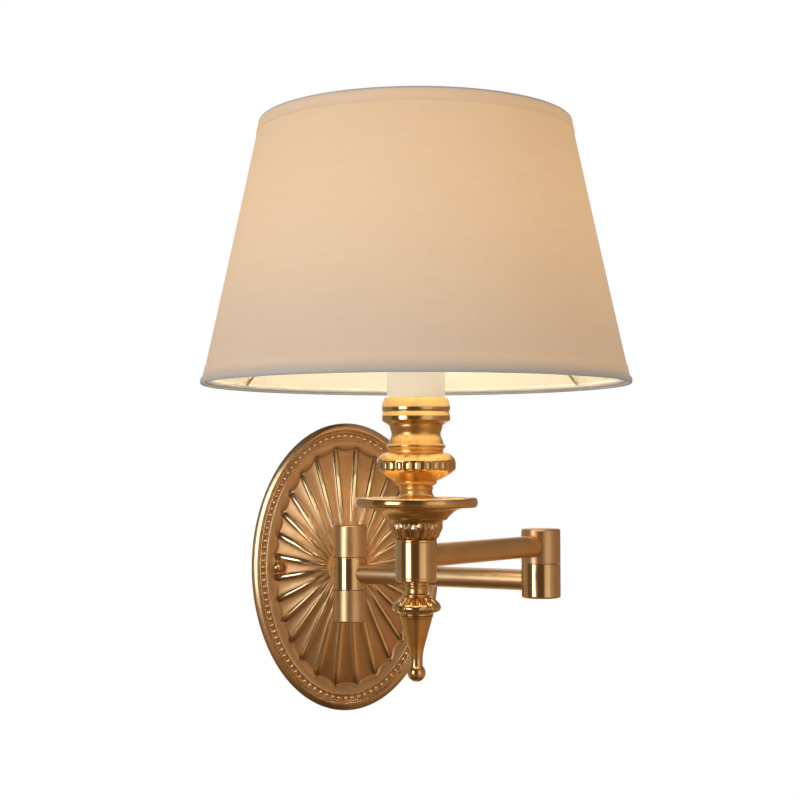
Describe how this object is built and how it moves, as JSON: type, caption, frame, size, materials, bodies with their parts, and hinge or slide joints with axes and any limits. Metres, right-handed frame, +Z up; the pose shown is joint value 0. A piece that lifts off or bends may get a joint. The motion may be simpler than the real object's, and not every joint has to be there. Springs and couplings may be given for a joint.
{
  "type": "swing arm wall sconce",
  "caption": "Wall light with a fluted oval brass plate, jointed swing arms, a turned candle column with finial and drip dish, and a tapered fabric drum shade.",
  "frame": {"origin": "centre of the wall plate's flat back, on the wall plane", "axes": "wall plane is y = 0, +Y points into the wall and the lamp reaches towards -Y, +Z up, +X to the right seen from the room; stored with the arms as in the picture"},
  "size_m": [0.251, 0.3718, 0.3804],
  "materials": {
    "brass_plate": "cast and fluted, matt in the flutes, polished on the ridges",
    "brass_satin": "satin, warm antique tone",
    "brass_polished": "polished and lacquered",
    "brass_leaf": "cast leaf relief, darker in the hollows",
    "brass_plain": "plain machined",
    "steel_zinc": "zinc plated",
    "fibre_washer": "pressed fibre",
    "lead_sleeve": "silicone insulation, smooth",
    "connector_body": "moulded nylon",
    "candle_sleeve": "ivory, silk",
    "holder_body": "moulded thermoset",
    "cap_metal": "bright threaded",
    "bulb_opal": "opal",
    "carrier_wire": "bright brass plated wire",
    "ring_wire": "steel wire with a white plastic coat",
    "shade_cloth": "fine plain-weave linen, beige",
    "shade_inside": "smooth cream laminate",
    "shade_tape": "rolled tape, slightly paler"
  },
  "bodies": {
    "wall_plate": {"wall_bracket": "steel_zinc", "bracket_studs": "steel_zinc", "ball_nuts": "brass_polished", "terminal_block": "connector_body", "earth_screw": "brass_plain", "backplate": "brass_plate", "wall_yoke": "brass_satin", "stem_washer": "steel_zinc", "stem_nut": "steel_zinc", "wall_lead": "lead_sleeve", "wall_pivot_tube": "steel_zinc", "wall_pivot_nuts": "steel_zinc", "wall_pivot_caps": "brass_satin"},
    "lower_arm": {"wall_hub": "brass_polished", "wall_pivot_washers": "fibre_washer", "lower_arm_tube": "brass_satin", "lower_arm_lead": "lead_sleeve", "elbow_lower_hub": "brass_polished", "elbow_bottom_cap": "brass_polished", "elbow_washer": "fibre_washer"},
    "upper_arm": {"elbow_upper_hub": "brass_satin", "elbow_pivot_tube": "steel_zinc", "elbow_nuts": "steel_zinc", "elbow_wave_washer": "steel_zinc", "elbow_top_cap": "brass_satin", "upper_arm_tube": "brass_satin", "upper_arm_lead": "lead_sleeve", "column_sleeve": "brass_polished", "column_rod": "steel_zinc", "column_ring": "brass_polished", "finial_bulb": "brass_polished", "finial_spike": "brass_polished", "leaf_cup": "brass_leaf", "drip_dish": "brass_polished", "fluted_vase": "brass_polished", "column_waist": "brass_polished", "candle_cup": "brass_polished", "cup_nut": "steel_zinc", "candle_tube": "candle_sleeve", "holder_cap": "holder_body", "lamp_holder": "holder_body", "screw_shell": "brass_plain", "centre_contact": "brass_plain", "bulb_cap": "cap_metal", "bulb_glass": "bulb_opal", "shade_ring_nut": "brass_polished", "shade_carrier": "carrier_wire", "shade_bottom_wire": "ring_wire", "shade_top_wire": "ring_wire", "shade_lining": "shade_inside", "shade_fabric": "shade_cloth", "shade_bottom_hem": "shade_tape", "shade_top_hem": "shade_tape"}
  },
  "joints": [
    {"name": "wall_swivel", "type": "hinge", "parent": "wall_plate", "child": "lower_arm", "pos_m": [0, -0.042, -0.0025], "axis": [0, 0, 1], "range_deg": [-70, 37]},
    {"name": "elbow_swivel", "type": "hinge", "parent": "lower_arm", "child": "upper_arm", "pos_m": [0.11979, -0.13227, -0.0025], "axis": [0, 0, 1], "range_deg": [-50, 130]}
  ]
}
